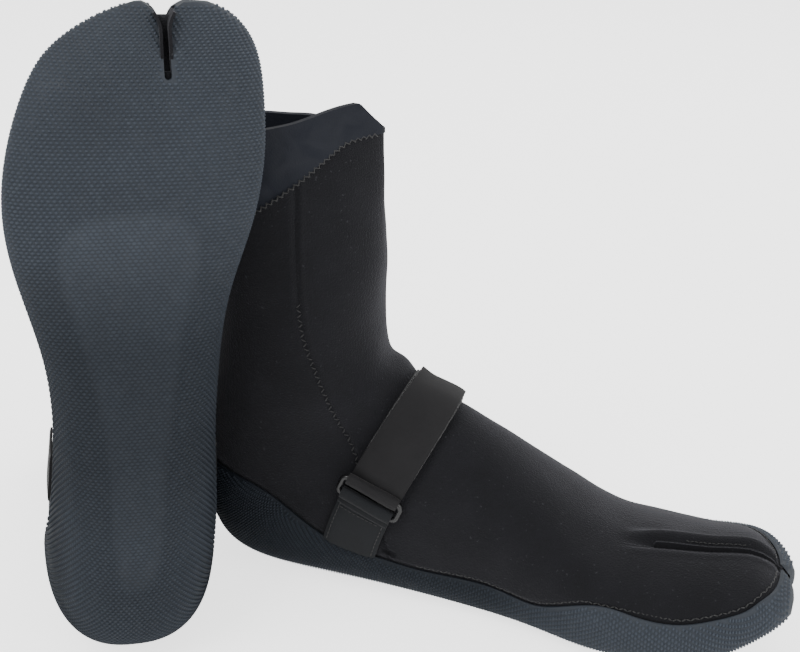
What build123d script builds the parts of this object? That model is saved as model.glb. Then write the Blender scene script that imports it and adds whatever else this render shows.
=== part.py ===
from build123d import *
from math import cos, hypot, pi, radians, sin
import os

os.makedirs("parts", exist_ok=True)

# A pair of split-toe neoprene boots. Millimetres, +Z up.
# The left boot stands on Z = 0, toe towards +X, inner side towards -Y. It is drawn with the back of
# its heel at X = 0; the pair's own origin lies under the middle of its sole.
# The right boot is its mirror image, lying on its back beside it with the sole facing -Y.

# ---------------------------------------------------------------- driving dimensions

NEOPRENE = 4.0          # wall of every sewn panel
RUBBER = 2.5            # outsole, outside the panels
GLUE = 0.2              # gap between rubber and panels
SEAM = 0.3              # width of a sewn butt joint

WEBBING = 1.4           # strap thickness
STRAP_WIDTH = 28.0
HOOK_LOOP = 0.8         # thickness of the hook patch and of the loop patch
LAYER_GAP = 0.1         # between stacked strap layers

WIRE = 3.0              # ring wire diameter
BORE_GAP = 0.1          # ring wire to webbing sleeve, radial
RING_PITCH = 9.5        # centre to centre of the two long bars
RING_LENGTH = 32.2      # centre to centre of the two short bars

ANKLE = (50.0, 103.0)   # flex axis, x and z
ANKLE_RADIUS = 58.0     # seam between foot and shaft, about the flex axis

SLIT_Y = -19.0          # plane of the toe split
SLIT_WIDTH = 3.0
SLIT_ROOT = 236.0       # where the split starts on top
SLIT_FLOOR = 20.0       # and how deep it reaches there
SOLE_SLIT_ROOT = 272.0  # where it runs right through the sole
SLIT_MOUTH = 290.0      # where it starts to flare
GUSSET = 1.6            # liner sewn into the split

REACH = 90.0            # half width of every side-view prism
FAR = 200.0             # beyond the end of the strap

# Stations along the boot, from the open top, down the shaft, round the heel and out to the toe.
# Each is a closed ring through a front (or top) point and a back (or bottom) point:
# front x, z, back x, z, inner y, outer y, place of the widest part, front and back squareness, lean
STATIONS = [
    (101, 268, 9, 268, -41, 41, 0.6, 1.1, 2.2, 0),          # open top, pinched in front
    (99, 215, 11, 212, -41, 41, 0.6, 1.5, 2.2, 0),
    (98, 170, 13, 168, -39, 39, 0.56, 2, 2.2, 0),
    (96, 142, 11, 137, -37, 37, 0.52, 2.2, 2.2, 0),         # ankle
    (98, 121, 5, 100, -36, 37, 0.52, 2.2, 2.2, 0),
    (104.5, 115.5, -1, 58, -34, 41, 0.56, 2.2, 2.3, 0),     # back of the heel
    (109.5, 109.5, 8, 13, -32, 43, 0.62, 2.2, 2.5, 0),
    (117, 104, 50, 2, -33.5, 39.5, 0.66, 2.2, 2.6, 0),      # under the heel
    (131, 98.5, 95, 2, -33.5, 36, 0.70, 2.2, 2.8, 0),
    (152, 86.5, 141.5, 2, -35, 35.5, 0.72, 2.2, 3.4, 0),
    (179, 67.5, 179, 2, -40, 42.5, 0.72, 2.2, 4, 0),        # waist
    (210, 48, 210, 2, -50, 48, 0.7, 2.2, 3.3, 0.05),
    (238, 45, 238, 5, -56, 46, 0.7, 2, 2.5, 0.1),           # ball
    (263, 46, 263, 11, -57, 38, 0.66, 2, 2.4, 0.12),
    (281, 49, 281, 20, -55, 26, 0.62, 2, 2.2, 0.12),
    (293, 47, 293, 29, -47, 7, 0.58, 2, 2.2, 0.06),
    (299, 40, 299, 33, -36, -9, 0.5, 2.2, 2.2, 0),          # toe tip
]
RING_POINTS = 24
TOE_START = 200.0       # beyond here an offset also pushes the stations forwards

FIRST_STRAP_STATION = 4     # the strap is cut from this run of stations
LAST_STRAP_STATION = 12

# Side-view lines (x, z), the same on both sides of the boot.
TOP_EDGE = [(-20, 234), (12, 236), (36, 241), (60, 246), (82, 250), (92, 252), (101, 239), (125, 236)]
COLLAR_SEAM = [(-20, 176), (12, 186), (42, 202), (68, 219), (84, 233), (97, 236.5), (125, 234)]
SIDE_SEAM = [(68, 219), (67.5, 188), (67.7, 153), (71, 133), (79, 103), (86, 86), (98, 58), (108, 24), (110, 11)]
RUBBER_EDGE = [
    (-20, 64), (12, 63), (28, 60), (40, 55), (55, 45), (71, 35), (87, 29), (113, 24), (134, 22.5),
    (160, 22), (181, 19), (197, 24), (215, 30), (234, 30), (253, 31.5), (270, 37.5), (283, 43.5), (292, 47), (320, 50),
]
SOLE_SEAM = [(-20, 26), (10, 24), (50, 13), (100, 11), (180, 11), (235, 15.5), (265, 24), (290, 36), (320, 40)]

# The strap: a band in side view from the sole edge up over the instep.
STRAP_LINE = [(83.5, 18), (97, 57), (127, 113), (150, 156)]
RING_AT = (97, 57)      # lower bar of the ring, x and z
RING_OUT = 35.8         # how far the bars lie from the middle of the boot
RING_TILT = 24.7        # degrees from upright, along the strap
RING_CORNER = 2.5
HOOK_START = 24.0       # hook and loop begin this far up the strap from the lower bar
LOOP_END_Y = 12.0       # and end here, just past the crest of the instep
HOOK_END_Y = 7.0
STRAP_END_Y = 9.0       # where the free end of the strap stops
ANCHOR_TOP = -8.0       # doubled strap foot on the outer side, up the strap from the ring's height
PANEL_GAP = 0.2         # strap to panel

# The pair's origin, along the left boot from the back of its heel.
ORIGIN_X = 120.0

# The right boot's pose beside the left.
RIGHT_BASE = (17.0, -121.0)
RIGHT_TURN = 31.0
RIGHT_TIP = 3.8
RIGHT_LEAN = -3.8


# ---------------------------------------------------------------- shape helpers

def station_plane(station, grow):
    """Plane of a station, with x running from its front point to its back point."""
    fx, fz, bx, bz = station[:4]
    push = grow * max(0, (max(fx, bx) - TOE_START) / (STATIONS[-1][0] - TOE_START)) ** 2
    length = hypot(bx - fx, bz - fz)
    ux, uz = (bx - fx) / length, (bz - fz) / length
    return Plane(origin=(fx + push, 0, fz), x_dir=(ux, 0, uz), z_dir=(-uz, 0, ux))


def ring_points(station, grow):
    """Points of the closed ring at a station, grown outwards (in its own plane)."""
    fx, fz, bx, bz, inner, outer, widest, front_n, back_n, lean = station
    length = hypot(bx - fx, bz - fz)
    middle, half = (inner + outer) / 2, (outer - inner) / 2
    points = []
    for k in range(RING_POINTS):
        angle = 2 * pi * k / RING_POINTS
        c, s = cos(angle), sin(angle)
        n = front_n if c > 0 else back_n
        r = (abs(c) ** n + abs(s) ** n) ** (-1 / n)
        depth = widest if c > 0 else 1 - widest
        across = middle + r * s * max(half + grow, 1)
        along = widest * length - r * c * max(depth * length + grow, 1)
        along -= lean * (0.7 * outer - across) * max(0, r * c)
        points.append((along, across))
    return points


def skin(grow, first=0, last=None):
    """Closed body whose wall lies at a constant distance from the panels' outer face."""
    with BuildPart() as body:
        for station in STATIONS[first:last]:
            with BuildSketch(station_plane(station, grow)):
                with BuildLine():
                    Polyline(*ring_points(station, grow), close=True)
                make_face()
        loft(ruled=True)
    return body.part


def side_zone(line, corners):
    """Prism right across the boot, between a side-view line and its far corners."""
    with BuildPart() as zone:
        with BuildSketch(Plane.XZ):
            with BuildLine():
                edge = Spline(*line)
                Polyline(edge @ 1, *corners, edge @ 0)
            make_face()
        extrude(amount=REACH, both=True)
    return zone.part


def seam_wall(line):
    """Thin wall that leaves the gap of a butt seam along a side-view line."""
    with BuildPart() as wall:
        with BuildSketch(Plane.XZ):
            with BuildLine():
                Spline(*line)
            trace(line_width=SEAM)
        extrude(amount=REACH, both=True)
    return wall.part


def slit(root, floor, grow=0):
    """The toe split: straight sides, a round root and a flared mouth, upwards from a floor."""
    side = SLIT_WIDTH / 2 + grow
    with BuildPart() as body:
        with BuildSketch(Plane((0, SLIT_Y, floor))):
            with BuildLine():
                near = Line((root, -side), (SLIT_MOUTH, -side))
                near_lobe = Spline(near @ 1, (298, -5 - grow), (303, -13), tangents=[(1, 0), (0.4, -1)])
                mouth = Polyline(near_lobe @ 1, (330, -13), (330, 13), (303, 13))
                far_lobe = Spline(mouth @ 1, (298, 5 + grow), (SLIT_MOUTH, side), tangents=[(-0.4, -1), (-1, 0)])
                far = Line(far_lobe @ 1, (root, side))
                ThreePointArc(far @ 1, (root - side, 0), near @ 0)
            make_face()
        extrude(amount=80)
    return body.part


def strap_layer(inside, thickness):
    """A layer of the strap: a constant-thickness band over the instep, down to both sole edges."""
    outer = skin(inside + thickness, FIRST_STRAP_STATION, LAST_STRAP_STATION)
    inner = skin(inside, FIRST_STRAP_STATION, LAST_STRAP_STATION)
    with BuildPart() as layer:
        with BuildSketch(Plane.XZ):
            with BuildLine():
                Spline(*STRAP_LINE)
            trace(line_width=STRAP_WIDTH)
        extrude(amount=REACH, both=True)
        add(outer, mode=Mode.INTERSECT)
        add(inner, mode=Mode.SUBTRACT)
        add(above_rubber, mode=Mode.INTERSECT)
    return layer.part


def strap_zone(low, high, inner_y, outer_y):
    """Block between two heights up the strap from the ring's lower bar, and two y planes."""
    with BuildPart() as zone:
        with BuildSketch(side_plane.offset(-inner_y)):
            with Locations((0, (low + high) / 2)):
                Rectangle(160, high - low)
        extrude(amount=inner_y - outer_y)
    return zone.part


def sleeve(up):
    """Webbing folded round a ring bar, at a height up the strap from the lower bar."""
    start = side_plane.from_local_coords((-STRAP_WIDTH / 2, up, RING_OUT))
    with BuildPart() as tube:
        with BuildSketch(Plane(start, z_dir=side_plane.x_dir)):
            Circle(WIRE / 2 + BORE_GAP + WEBBING)
            Circle(WIRE / 2 + BORE_GAP, mode=Mode.SUBTRACT)
        extrude(amount=STRAP_WIDTH)
    return tube.part


# ---------------------------------------------------------------- shared tools

# Where each layer of the strap starts, measured out from the panels.
UNDER = PANEL_GAP
LOOP = UNDER + WEBBING + LAYER_GAP
HOOK = LOOP + HOOK_LOOP + LAYER_GAP
END = HOOK + HOOK_LOOP + LAYER_GAP
SLEEVE = WIRE / 2 + BORE_GAP + WEBBING      # outer radius of the webbing round a bar

# Side view of the strap, seen from the inner side: origin at the lower bar, y up the strap.
tilt = radians(RING_TILT)
side_plane = Plane(origin=(RING_AT[0], 0, RING_AT[1]), x_dir=(cos(tilt), 0, -sin(tilt)), z_dir=(0, -1, 0))

above_rubber = side_zone([(x, z + 0.5) for x, z in RUBBER_EDGE], [(320, 300), (-20, 300)])
below_rubber_edge = side_zone(RUBBER_EDGE, [(320, -50), (-20, -50)])
above_top = side_zone(TOP_EDGE, [(125, 300), (-20, 300)])

with BuildPart() as ankle_wall:
    with BuildSketch(Plane.XZ):
        with BuildLine():
            CenterArc(ANKLE, ANKLE_RADIUS, 20, 140)
        trace(line_width=SEAM)
    extrude(amount=REACH, both=True)

upper_slit = slit(SLIT_ROOT, SLIT_FLOOR)
sole_slit = slit(SOLE_SLIT_ROOT, -20)

# The sewn upper, opened along every seam. Its pieces, from the lowest to the highest:
# sole panel, vamp, heel quarter, the two shaft panels and the collar.
with BuildPart() as panels:
    add(skin(0))
    add(skin(-NEOPRENE), mode=Mode.SUBTRACT)
    add(above_top, mode=Mode.SUBTRACT)
    for line in (SIDE_SEAM, COLLAR_SEAM, SOLE_SEAM):
        add(seam_wall(line), mode=Mode.SUBTRACT)
    add(ankle_wall.part, mode=Mode.SUBTRACT)
    add(upper_slit, mode=Mode.SUBTRACT)
    add(sole_slit, mode=Mode.SUBTRACT)

sole_piece, vamp_piece, heel_piece, *shaft_pieces, collar_piece = panels.part.solids().sort_by(Axis.Z)
rear_piece, front_piece = ShapeList(shaft_pieces).sort_by(Axis.X)


# ---------------------------------------------------------------- the left boot

with BuildPart() as outsole:
    add(skin(RUBBER))
    add(skin(GLUE), mode=Mode.SUBTRACT)
    add(below_rubber_edge, mode=Mode.INTERSECT)
    add(sole_slit, mode=Mode.SUBTRACT)
    split(bisect_by=Plane.XY, keep=Keep.TOP)

with BuildPart() as sole_panel:
    add(sole_piece)

with BuildPart() as vamp:
    add(vamp_piece)

with BuildPart() as heel_quarter:
    add(heel_piece)

with BuildPart() as shaft_front:
    add(front_piece)

with BuildPart() as shaft_rear:
    add(rear_piece)

with BuildPart() as collar:
    add(collar_piece)

with BuildPart() as toe_gusset:
    add(slit(SLIT_ROOT, SLIT_FLOOR - 12, GUSSET))
    add(slit(SLIT_ROOT, SLIT_FLOOR - 12), mode=Mode.SUBTRACT)
    add(skin(-NEOPRENE - GLUE), mode=Mode.INTERSECT)

with BuildPart() as strap_under:
    add(strap_layer(UNDER, WEBBING))
    add(strap_zone(-FAR, RING_PITCH + SLEEVE + SEAM, -REACH, 0), mode=Mode.SUBTRACT)

with BuildPart() as strap_anchor:
    add(strap_layer(LOOP, WEBBING))
    add(strap_zone(-FAR, ANCHOR_TOP, 0, REACH), mode=Mode.INTERSECT)

with BuildPart() as loop_patch:
    add(strap_layer(LOOP, HOOK_LOOP))
    add(strap_zone(HOOK_START, FAR, -REACH, LOOP_END_Y), mode=Mode.INTERSECT)

with BuildPart() as hook_patch:
    add(strap_layer(HOOK, HOOK_LOOP))
    add(strap_zone(HOOK_START + 2, FAR, -REACH, HOOK_END_Y), mode=Mode.INTERSECT)

with BuildPart() as strap_end:
    add(strap_layer(END, WEBBING))
    add(strap_zone(RING_PITCH + WIRE / 2 + 0.7, FAR, -REACH, STRAP_END_Y), mode=Mode.INTERSECT)
    add(sleeve(RING_PITCH))

with BuildPart() as ring_tab:
    add(strap_layer(UNDER, 2 * WEBBING))
    add(strap_zone(-FAR, -WIRE / 2 - 0.7, -REACH, 0), mode=Mode.INTERSECT)
    add(sleeve(0))

with BuildPart() as ring:
    with BuildLine(side_plane.offset(RING_OUT)) as loop:
        FilletPolyline(
            (RING_LENGTH / 2, 0), (RING_LENGTH / 2, RING_PITCH), (-RING_LENGTH / 2, RING_PITCH),
            (-RING_LENGTH / 2, 0), radius=RING_CORNER, close=True,
        )
    with BuildSketch(Plane(loop.line @ 0, z_dir=loop.line % 0)):
        Circle(WIRE / 2)
    sweep(path=loop.line)


# ---------------------------------------------------------------- both boots

boot = {
    "outsole": outsole,
    "sole_panel": sole_panel,
    "vamp": vamp,
    "heel_quarter": heel_quarter,
    "toe_gusset": toe_gusset,
    "shaft_front": shaft_front,
    "shaft_rear": shaft_rear,
    "collar": collar,
    "strap_under": strap_under,
    "strap_anchor": strap_anchor,
    "loop_patch": loop_patch,
    "ring_tab": ring_tab,
    "ring": ring,
    "strap_end": strap_end,
    "hook_patch": hook_patch,
}

# Lying down: toe up, sole towards -Y, then turned, tipped, leaned and set down on Z = 0.
lie_down = (
    Rot(0, 0, RIGHT_TURN) * Rot(0, RIGHT_TIP, 0) * Rot(RIGHT_LEAN, 0, 0)
    * Location(Plane(origin=(0, 0, 0), x_dir=(0, 0, 1), z_dir=(0, 1, 0)))
)
right_boot = {name: lie_down * mirror(piece.part, about=Plane.XZ) for name, piece in boot.items()}
lowest = min(piece.bounding_box().min.Z for piece in right_boot.values())
to_origin = Location((-ORIGIN_X, 0, 0))
set_down = to_origin * Location((*RIGHT_BASE, -lowest))

for name, piece in boot.items():
    for side, part in (("left", to_origin * piece.part), ("right", set_down * right_boot[name])):
        part.label = f"{side}_{name}"
        export_step(part, f"parts/{side}_{name}.step")
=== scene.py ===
import math
import bmesh
import bpy
import numpy as np
from mathutils import Matrix, Vector


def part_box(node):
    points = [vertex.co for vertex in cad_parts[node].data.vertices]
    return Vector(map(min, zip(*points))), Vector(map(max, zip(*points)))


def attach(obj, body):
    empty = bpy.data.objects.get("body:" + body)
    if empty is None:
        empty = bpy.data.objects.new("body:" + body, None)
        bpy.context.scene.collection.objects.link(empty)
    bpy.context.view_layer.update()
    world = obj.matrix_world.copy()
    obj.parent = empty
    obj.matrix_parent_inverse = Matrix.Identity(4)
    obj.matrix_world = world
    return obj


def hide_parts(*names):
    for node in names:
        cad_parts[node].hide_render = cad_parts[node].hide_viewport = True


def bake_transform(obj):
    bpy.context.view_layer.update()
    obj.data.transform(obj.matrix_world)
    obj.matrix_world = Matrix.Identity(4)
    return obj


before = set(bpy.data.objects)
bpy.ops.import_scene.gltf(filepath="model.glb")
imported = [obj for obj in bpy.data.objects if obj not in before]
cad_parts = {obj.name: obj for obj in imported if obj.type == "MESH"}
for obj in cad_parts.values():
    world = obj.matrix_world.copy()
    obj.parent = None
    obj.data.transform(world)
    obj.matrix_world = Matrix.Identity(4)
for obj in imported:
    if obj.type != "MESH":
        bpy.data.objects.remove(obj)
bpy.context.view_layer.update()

rng = np.random.default_rng(7)
MM = 0.001

# ------------------------------------------------------------------ the boot's form (mm, heel at x 0)
# front x, z, back x, z, inner y, outer y, place of the widest part, front and back squareness, lean
STATIONS = np.array([
    (101, 268, 9, 268, -41, 41, 0.6, 1.1, 2.2, 0),          # open top, pinched in front
    (99, 215, 11, 212, -41, 41, 0.6, 1.5, 2.2, 0),
    (98, 170, 13, 168, -39, 39, 0.56, 2, 2.2, 0),
    (96, 142, 11, 137, -37, 37, 0.52, 2.2, 2.2, 0),         # ankle
    (98, 121, 5, 100, -36, 37, 0.52, 2.2, 2.2, 0),
    (104.5, 115.5, -1, 58, -34, 41, 0.56, 2.2, 2.3, 0),     # back of the heel
    (109.5, 109.5, 8, 13, -32, 43, 0.62, 2.2, 2.5, 0),
    (117, 104, 50, 2, -33.5, 39.5, 0.66, 2.2, 2.6, 0),      # under the heel
    (131, 98.5, 95, 2, -33.5, 36, 0.70, 2.2, 2.8, 0),
    (152, 86.5, 141.5, 2, -35, 35.5, 0.72, 2.2, 3.4, 0),
    (179, 67.5, 179, 2, -40, 42.5, 0.72, 2.2, 4, 0),        # waist
    (210, 48, 210, 2, -50, 48, 0.7, 2.2, 3.3, 0.05),
    (238, 45, 238, 5, -56, 46, 0.7, 2, 2.5, 0.1),           # ball
    (263, 46, 263, 11, -57, 38, 0.66, 2, 2.4, 0.12),
    (281, 49, 281, 20, -55, 26, 0.62, 2, 2.2, 0.12),
    (293, 47, 293, 29, -47, 7, 0.58, 2, 2.2, 0.06),
    (299, 40, 299, 33, -36, -9, 0.5, 2.2, 2.2, 0),          # toe tip
], float)
TOE_START, TOE_END = 200.0, 299.0
LAST = len(STATIONS) - 1
ORIGIN_X = 120.0
SLIT_Y, SLIT_W = -19.0, 3.0
SLIT_ROOT, SOLE_ROOT = 236.0, 272.0
TOP_EDGE = [(-20, 234), (12, 236), (36, 241), (60, 246), (82, 250), (92, 252), (101, 239), (125, 236)]
COLLAR_SEAM = [(-20, 176), (12, 186), (42, 202), (68, 219), (84, 233), (97, 236.5), (125, 234)]
SIDE_SEAM = [
    (68, 219), (67.5, 188), (67.7, 153), (71, 133), (79, 103), (86, 86), (98, 58), (108, 24), (110, 11),
]
RUBBER_EDGE = [
    (-20, 64), (12, 63), (28, 60), (40, 55), (55, 45), (71, 35), (87, 29), (113, 24), (134, 22.5),
    (160, 22), (181, 19), (197, 24), (215, 30), (234, 30), (253, 31.5), (270, 37.5), (283, 43.5), (292, 47),
    (320, 50),
]
STRAP_LINE = [(83.5, 18), (97, 57), (127, 113), (150, 156)]
STRAP_WIDTH = 28.0
TILT = math.radians(24.7)                # the ring's tilt in side view
UP = np.array([math.sin(TILT), 0, math.cos(TILT)])
SIDE = np.array([math.cos(TILT), 0, -math.sin(TILT)])
BAR_LOW, RING_PITCH = np.array([97.0, -35.8, 57.0]), 9.5
NEO = 3.6                                # neoprene's thickness


def spline(values):
    """Natural cubic spline through rows of values at 0, 1, 2 ..."""
    v = np.asarray(values, float)
    n = len(v)
    a = np.eye(n)
    rhs = np.zeros_like(v)
    for i in range(1, n - 1):
        a[i, i - 1:i + 2] = (1, 4, 1)
        rhs[i] = 6 * (v[i - 1] - 2 * v[i] + v[i + 1])
    m = np.linalg.solve(a, rhs)

    def at(t):
        t = np.clip(np.asarray(t, float), 0, n - 1)
        i = np.minimum(t.astype(int), n - 2)
        u = (t - i)[..., None]
        w = 1 - u
        return w * v[i] + u * v[i + 1] + ((w ** 3 - w) * m[i] + (u ** 3 - u) * m[i + 1]) / 6
    return at


def line_z(points):
    """Height of a side-view line at x, smooth and monotone in x."""
    p = np.array(points, float)
    curve = spline(p)(np.linspace(0, len(p) - 1, 400))
    return lambda x: np.interp(x, curve[:, 0], curve[:, 1])


form = spline(STATIONS)
collar_z, rubber_z = line_z(COLLAR_SEAM), line_z(RUBBER_EDGE)
side_seam = spline(SIDE_SEAM)(np.linspace(0, len(SIDE_SEAM) - 1, 160))
strap_axis = spline(STRAP_LINE)(np.linspace(0, len(STRAP_LINE) - 1, 160))


def smooth(x, a, b):
    u = np.clip((np.asarray(x, float) - a) / (b - a), 0, 1)
    return u * u * (3 - 2 * u)


def surface(t, a, grow=0.0):
    """Point of the boot at station t (0 at the top, LAST at the toe) and angle a (0 in front, pi at the sole)."""
    t, a, grow = np.broadcast_arrays(np.asarray(t, float), np.asarray(a, float), np.asarray(grow, float))
    fx, fz, bx, bz, inner, outer, widest, fn, bn, lean = np.moveaxis(form(t), -1, 0)
    length = np.hypot(bx - fx, bz - fz)
    ux, uz = (bx - fx) / length, (bz - fz) / length
    middle, half = (inner + outer) / 2, (outer - inner) / 2
    c, s = np.cos(a), np.sin(a)
    n = np.where(c > 0, fn, bn)
    r = (np.abs(c) ** n + np.abs(s) ** n) ** (-1 / n)
    depth = np.where(c > 0, widest, 1 - widest)
    y = middle + r * s * np.maximum(half + grow, 1)
    along = widest * length - r * c * np.maximum(depth * length + grow, 1)
    along = along - lean * (0.7 * outer - y) * np.maximum(0, r * c)
    push = grow * np.maximum(0, (np.maximum(fx, bx) - TOE_START) / (TOE_END - TOE_START)) ** 2
    x, z = fx + push + along * ux, fz + along * uz
    z = z + 1.6 * smooth(x, 120, 160) * (1 - smooth(x, 190, 222)) * smooth(z, 35, 55)
    z = z + 2.2 * smooth(x, 268, 300) * (1 - smooth(z, 20, 44))
    return np.stack([x, y, z], -1)


def form_normals(t, a, grow=0.0):
    """Outward normals of the form at stations and angles."""
    du = surface(t, a + 0.01, grow) - surface(t, a - 0.01, grow)
    dt = surface(t + 0.01, a, grow) - surface(t - 0.01, a, grow)
    n = np.cross(dt, du)
    return n / np.maximum(np.linalg.norm(n, axis=-1, keepdims=True), 1e-9)


def dist_to(line, x, z):
    """Distance in side view from (x, z) to a dense polyline."""
    best = np.full(np.shape(x), 1e9)
    for k in range(len(line) - 1):
        a, b = line[k], line[k + 1]
        d = b - a
        u = np.clip(((x - a[0]) * d[0] + (z - a[1]) * d[1]) / (d @ d), 0, 1)
        best = np.minimum(best, np.hypot(x - a[0] - u * d[0], z - a[1] - u * d[1]))
    return best


def grid_faces(rows, cols, closed=False):
    """Quads of a grid, facing outwards when rows run towards the toe and columns from front to back."""
    i = np.arange(rows - 1)[:, None]
    j = np.arange(cols if closed else cols - 1)[None, :]
    k = (j + 1) % cols
    return np.stack([i * cols + j, (i + 1) * cols + j, (i + 1) * cols + k, i * cols + k], -1).reshape(-1, 4)


# ------------------------------------------------------------------ placing the two boots

def rot(axis, degrees):
    return np.array(Matrix.Rotation(math.radians(degrees), 3, axis))


RIGHT_TURN, RIGHT_TIP, RIGHT_LEAN = 31.0, 3.8, -3.8
RING_CENTRE = BAR_LOW + RING_PITCH / 2 * UP
mirror = np.diag([1.0, -1.0, 1.0])
lie = np.array([[0, 1, 0], [0, 0, 1], [1, 0, 0]], float)
RIGHT_ROT = rot("Z", RIGHT_TURN) @ rot("Y", RIGHT_TIP) @ rot("X", RIGHT_LEAN) @ lie @ mirror
ring_low, ring_high = (np.array(c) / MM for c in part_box("right_ring"))
RIGHT_MOVE = (ring_low + ring_high) / 2 - RIGHT_ROT @ RING_CENTRE


LEFT_PLACE = Matrix.Translation((-ORIGIN_X * MM, 0, 0)) @ Matrix.Scale(MM, 4)
RIGHT_PLACE = Matrix.Translation(Vector(RIGHT_MOVE * MM)) @ Matrix((RIGHT_ROT * MM).tolist()).to_4x4()


def mesh_of(name, verts, faces, material, uv=None):
    """A mesh in boot coordinates, in mm."""
    mesh = bpy.data.meshes.new(name)
    mesh.from_pydata(np.reshape(verts, (-1, 3)).tolist(), [], [tuple(map(int, f)) for f in faces])
    mesh.update()
    if uv is not None:
        layer = mesh.uv_layers.new(name="cloth")
        loops = np.zeros(len(mesh.loops), int)
        mesh.loops.foreach_get("vertex_index", loops)
        layer.data.foreach_set("uv", np.reshape(uv, (-1, 2))[loops].astype(np.float32).ravel())
    mesh.materials.append(material)
    mesh.polygons.foreach_set("use_smooth", [True] * len(mesh.polygons))
    return mesh


def outward(mesh, sharp=40):
    """Makes the faces of a closed mesh face outwards and marks its sharp edges."""
    b = bmesh.new()
    b.from_mesh(mesh)
    bmesh.ops.recalc_face_normals(b, faces=b.faces)
    b.to_mesh(mesh)
    b.free()
    mesh.set_sharp_from_angle(angle=math.radians(sharp))
    return mesh


def both(name, mesh, part, stands_for=(), bend=False):
    """Sets a mesh down as a piece of each boot, riding on that boot's part of the frame, or baked in place and
    riding on nothing when bend is set.
    """
    for side, matrix in (("left", LEFT_PLACE), ("right", RIGHT_PLACE)):
        copy = mesh.copy()
        copy.transform(matrix)
        if matrix.determinant() < 0:
            copy.flip_normals()
        obj = bpy.data.objects.new(f"{side}_{name}", copy)
        bpy.context.scene.collection.objects.link(obj)
        if bend:
            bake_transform(obj)
        else:
            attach(obj, f"{side}_{part}")
        if stands_for:
            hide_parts(*[f"{side}_{node}" for node in stands_for])


def cut_away(mesh, cutter):
    """The mesh with a closed cutter mesh taken out of it."""
    body, tool = (bpy.data.objects.new("work", m) for m in (mesh, cutter))
    for obj in (body, tool):
        bpy.context.scene.collection.objects.link(obj)
    modifier = body.modifiers.new("cut", "BOOLEAN")
    modifier.operation, modifier.solver, modifier.object = "DIFFERENCE", "EXACT", tool
    graph = bpy.context.evaluated_depsgraph_get()
    result = bpy.data.meshes.new_from_object(body.evaluated_get(graph))
    for obj in (body, tool):
        bpy.data.objects.remove(obj)
    return result


# ------------------------------------------------------------------ finding lines on the surface

def locate(angle, v, field, first=False):
    """Last (or first) station at which field falls through zero along each column v."""
    samples = 700
    t = np.linspace(0, LAST, samples)[:, None]
    v = np.asarray(v, float)[None, :]
    f = field(surface(t, angle(v, t)))
    falls = (f[:-1] > 0) & (f[1:] <= 0)
    last = np.argmax(falls, axis=0) if first else samples - 2 - np.argmax(falls[::-1], axis=0)
    col = np.arange(v.shape[1])
    f0, f1 = f[last, col], f[last + 1, col]
    found = falls.any(axis=0)
    at = t[last, 0] + (t[1, 0] - t[0, 0]) * f0 / np.where(found, f0 - f1, 1)
    return np.where(found, at, np.where(f[-1] > 0, LAST, 0.0))


def eased(values, pad, pick):
    """Envelope of values over neighbouring columns, on the side of pick (np.min or np.max), rounded off."""
    near = np.arange(len(values))[:, None] + np.arange(-pad, pad + 1)[None]
    near = np.clip(near, 0, len(values) - 1)
    return pick(values[near], axis=1)[near].mean(axis=1)


def even_rows(angle, v, t0, t1, rows):
    """Stations of a grid whose rows are evenly spaced along every column."""
    v = np.asarray(v, float)
    t = t0[None] + (t1 - t0)[None] * np.linspace(0, 1, 240)[:, None]
    p = surface(t, angle(v[None], t))
    run = np.cumsum(np.linalg.norm(np.diff(p, axis=0), axis=-1), axis=0)
    run = np.concatenate([np.zeros((1, len(v))), run])
    columns = [np.interp(np.linspace(0, run[-1, k], rows), run[:, k], t[:, k]) for k in range(len(v))]
    return np.stack(columns, -1)


def seam_side(p):
    """Positive in front of the side seam."""
    x, z = p[..., 0], p[..., 2]
    order = np.argsort(side_seam[:, 1])
    return x - np.interp(z, side_seam[order, 1], side_seam[order, 0])


def seam_angle():
    """Angle of the side seam at fine stations, easing to a constant where the seam is under the rubber."""
    t = np.linspace(0, LAST, 321)
    a = np.linspace(0.3, 2.9, 521)
    p = surface(t[:, None], a[None])
    f = seam_side(p)
    found = np.array([np.interp(0, -row, a) for row in f])
    hold = smooth(t, 6.6, 8.4)
    return t, found * (1 - hold) + 1.95 * hold


SEAM_T, SEAM_A = seam_angle()


def front_angle(v, t):
    return v * np.interp(t, SEAM_T, SEAM_A)


def rear_angle(v, t):
    return math.pi + v * (math.pi - np.interp(t, SEAM_T, SEAM_A))


def whole_angle(v, t):
    return v + 0 * t


# ------------------------------------------------------------------ surface relief

def lattice_noise(p, scale, seed):
    """Smooth value noise, about -1 to 1."""
    q = np.asarray(p, float) / scale + seed * 17.31
    i = np.floor(q).astype(int)
    f = q - i
    f = f * f * (3 - 2 * f)
    total = 0
    for dx in (0, 1):
        for dy in (0, 1):
            for dz in (0, 1):
                h = (i[..., 0] + dx) * 73856093 ^ (i[..., 1] + dy) * 19349663 ^ (i[..., 2] + dz) * 83492791
                h = (h ^ (h >> 13)) * 1274126177 & 0x7FFFFFFF
                value = (h % 10007) / 5003.5 - 1
                wx = f[..., 0] if dx else 1 - f[..., 0]
                wy = f[..., 1] if dy else 1 - f[..., 1]
                wz = f[..., 2] if dz else 1 - f[..., 2]
                total = total + value * wx * wy * wz
    return total


def slit_gap(x):
    """Half width of the toe split at x, from its mouth shape."""
    return np.interp(x, [0, 292, 295, 298, 301, 303, 310], [1.5, 1.5, 2.2, 4, 8, 13, 22])


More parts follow.
